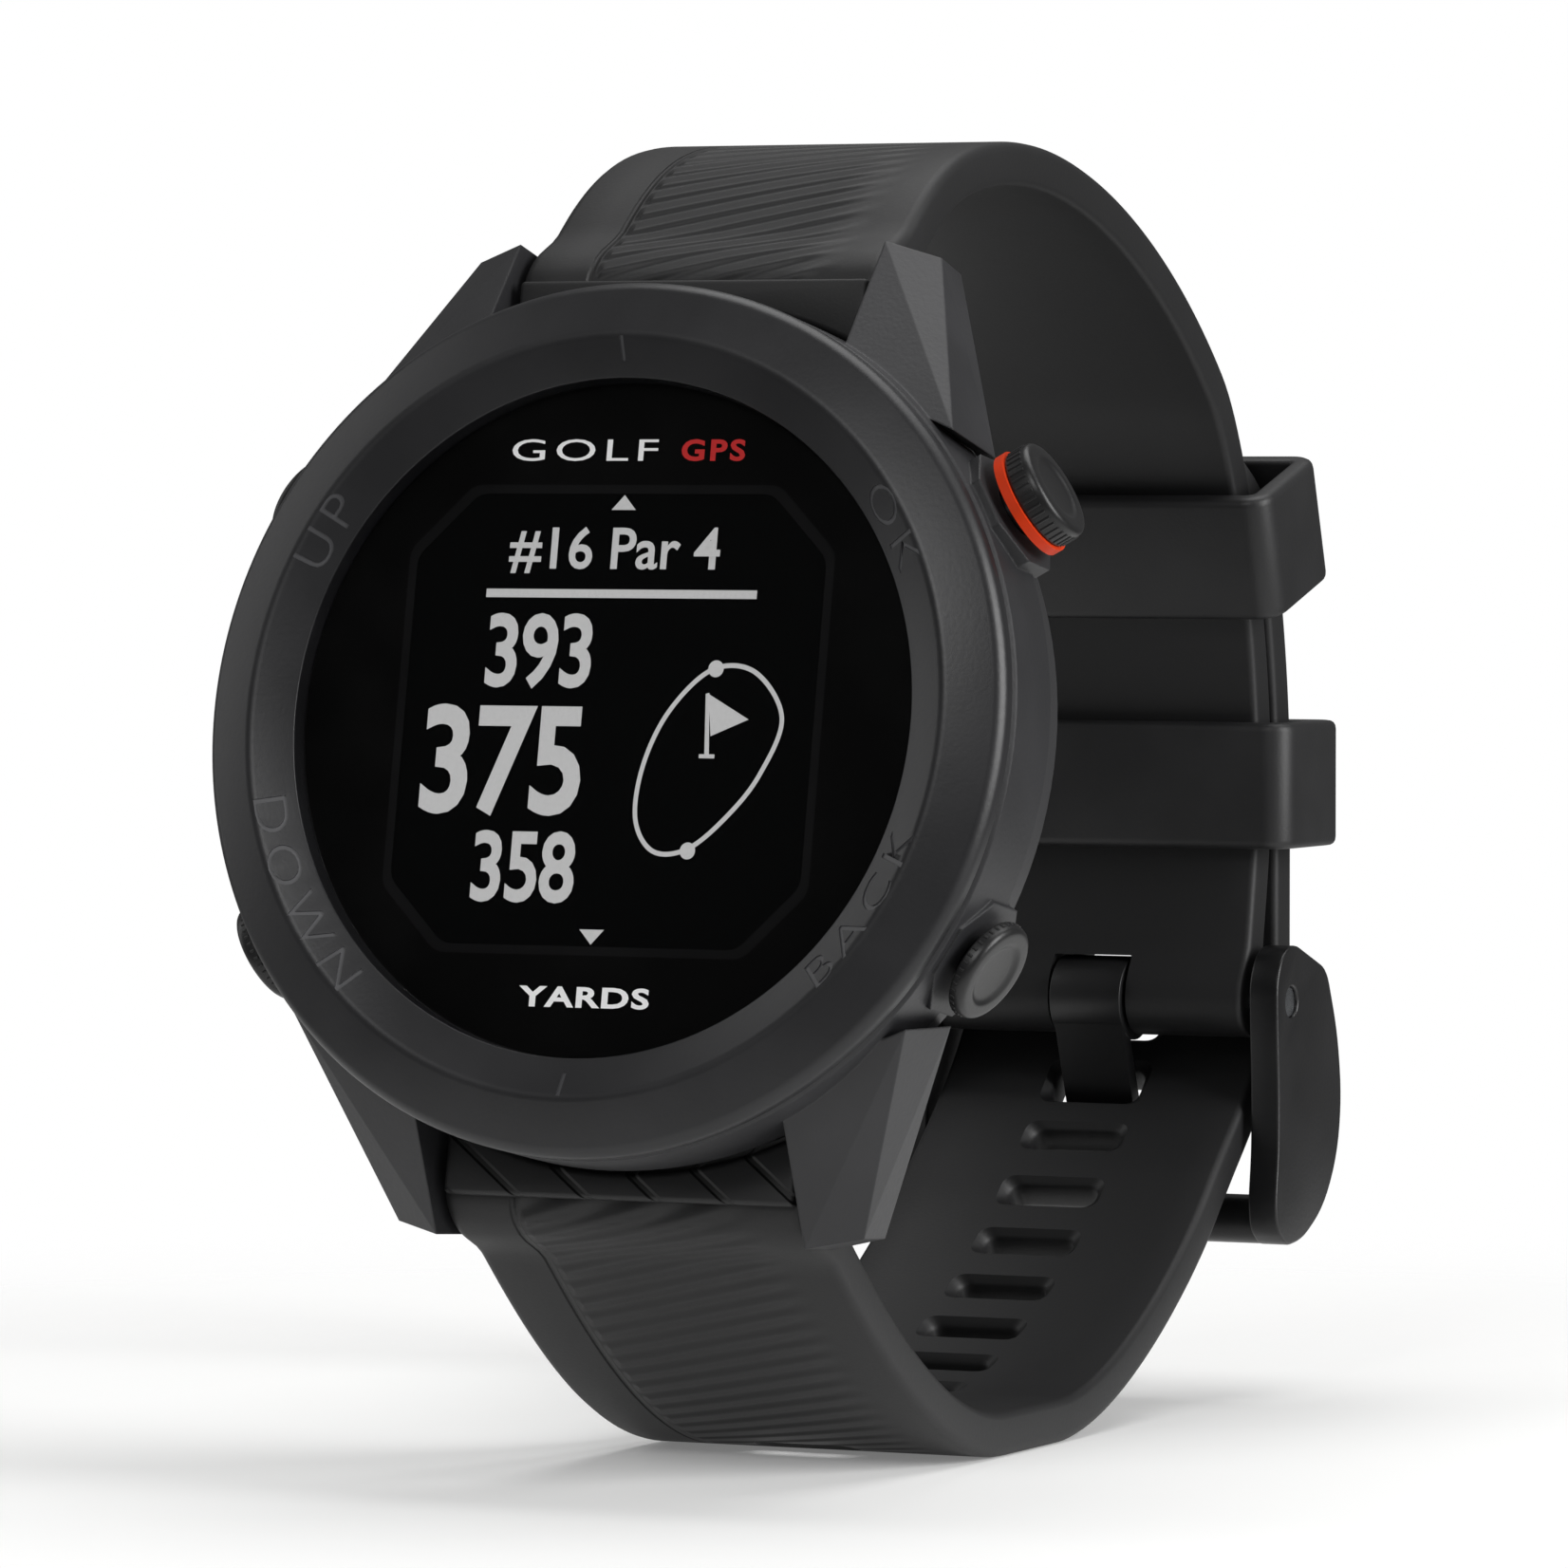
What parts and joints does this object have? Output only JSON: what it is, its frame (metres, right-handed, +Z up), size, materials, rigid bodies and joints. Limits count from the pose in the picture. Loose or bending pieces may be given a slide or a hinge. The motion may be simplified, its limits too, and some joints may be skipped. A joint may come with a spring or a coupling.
{
  "type": "golf gps watch",
  "caption": "Round golf GPS watch with four side buttons, a reflective distance display and a closed two-part silicone strap with a pin buckle and two keepers.",
  "frame": {"origin": "centre of the bounding box at the underside of the strap loop, on the surface the watch stands on", "axes": "+Z up, +X towards 3 o'clock as the face is read, -Y out of the face; the head leans back on the closed strap"},
  "size_m": [0.0444, 0.0728, 0.0676],
  "materials": {
    "bezel_plastic": "satin charcoal",
    "case_plastic": "matte",
    "cover_glass": "polished",
    "display_dark": "dark panel",
    "light_guide_plastic": "clear",
    "inner_plastic": "moulded",
    "adhesive": "film",
    "flex_film": "polyimide film",
    "circuit_board": "solder mask",
    "antenna_metal": "plated",
    "battery_foil": "foil pouch",
    "seal_rubber": "moulded",
    "steel_hardware": "turned",
    "gold_contact": "gold plated",
    "button_plastic": "satin black",
    "accent_plastic": "bright orange red",
    "plunger_plastic": "moulded",
    "strap_silicone": "matte silicone",
    "buckle_plastic": "satin black"
  },
  "bodies": {
    "root": {"bezel": "bezel_plastic", "cover_lens": "cover_glass", "lens_adhesive": "adhesive", "display_panel": "display_dark", "display_light_guide": "light_guide_plastic", "display_flex": "flex_film", "inner_frame": "inner_plastic", "main_board": "circuit_board", "gps_antenna": "antenna_metal", "battery": "battery_foil", "case_body": "case_plastic", "case_gasket": "seal_rubber", "back_cover": "case_plastic", "back_gasket": "seal_rubber", "back_screws": "steel_hardware", "contact_block": "case_plastic", "charging_contacts": "gold_contact", "ok_switch": "steel_hardware", "back_switch": "steel_hardware", "up_switch": "steel_hardware", "down_switch": "steel_hardware", "upper_strap": "strap_silicone", "lower_strap": "strap_silicone", "upper_bar_tube": "steel_hardware", "upper_bar_fixed_tip": "steel_hardware", "upper_bar_spring": "steel_hardware", "lower_bar_tube": "steel_hardware", "lower_bar_fixed_tip": "steel_hardware", "lower_bar_spring": "steel_hardware", "buckle_bar": "steel_hardware"},
    "ok_button": {"ok_button": "button_plastic", "ok_accent_ring": "accent_plastic", "ok_seal": "seal_rubber", "ok_clip": "steel_hardware", "ok_plunger": "plunger_plastic"},
    "back_button": {"back_button": "button_plastic", "back_seal": "seal_rubber", "back_clip": "steel_hardware", "back_plunger": "plunger_plastic"},
    "up_button": {"up_button": "button_plastic", "up_seal": "seal_rubber", "up_clip": "steel_hardware", "up_plunger": "plunger_plastic"},
    "down_button": {"down_button": "button_plastic", "down_seal": "seal_rubber", "down_clip": "steel_hardware", "down_plunger": "plunger_plastic"},
    "upper_release": {"upper_bar_release_tip": "steel_hardware"},
    "lower_release": {"lower_bar_release_tip": "steel_hardware"},
    "buckle": {"buckle_frame": "buckle_plastic"},
    "tongue": {"buckle_tongue": "buckle_plastic"},
    "upper_keeper": {"upper_keeper": "strap_silicone"},
    "lower_keeper": {"lower_keeper": "strap_silicone"}
  },
  "joints": [
    {"name": "ok_press", "type": "slide", "parent": "root", "child": "ok_button", "axis": [-0.866, -0.092, -0.4915], "range_m": [0, 0.00045], "stiffness_N_per_m": 2000},
    {"name": "back_press", "type": "slide", "parent": "root", "child": "back_button", "axis": [-0.866, 0.092, 0.4915], "range_m": [0, 0.00045], "stiffness_N_per_m": 2000},
    {"name": "up_press", "type": "slide", "parent": "root", "child": "up_button", "axis": [0.866, -0.092, -0.4915], "range_m": [0, 0.00045], "stiffness_N_per_m": 2000},
    {"name": "down_press", "type": "slide", "parent": "root", "child": "down_button", "axis": [0.866, 0.092, 0.4915], "range_m": [0, 0.00045], "stiffness_N_per_m": 2000},
    {"name": "upper_release", "type": "slide", "parent": "root", "child": "upper_release", "axis": [-1, 0, 0], "range_m": [0, 0.0011], "stiffness_N_per_m": 900},
    {"name": "lower_release", "type": "slide", "parent": "root", "child": "lower_release", "axis": [-1, 0, 0], "range_m": [0, 0.0011], "stiffness_N_per_m": 900},
    {"name": "buckle_hinge", "type": "hinge", "parent": "root", "child": "buckle", "pos_m": [0, 0.02924, 0.0217], "axis": [1, 0, 0], "range_deg": [-1, 2.5]},
    {"name": "tongue_hinge", "type": "hinge", "parent": "root", "child": "tongue", "pos_m": [0, 0.02924, 0.0217], "axis": [1, 0, 0], "range_deg": [-0.8, 0.8]},
    {"name": "lower_keeper_slide", "type": "slide", "parent": "root", "child": "lower_keeper", "axis": [0, 0, 1], "range_m": [-0.0008, 0.0008]},
    {"name": "upper_keeper_slide", "type": "slide", "parent": "root", "child": "upper_keeper", "axis": [0, -0.3026, 0.9531], "range_m": [-0.0008, 0.0008]}
  ]
}
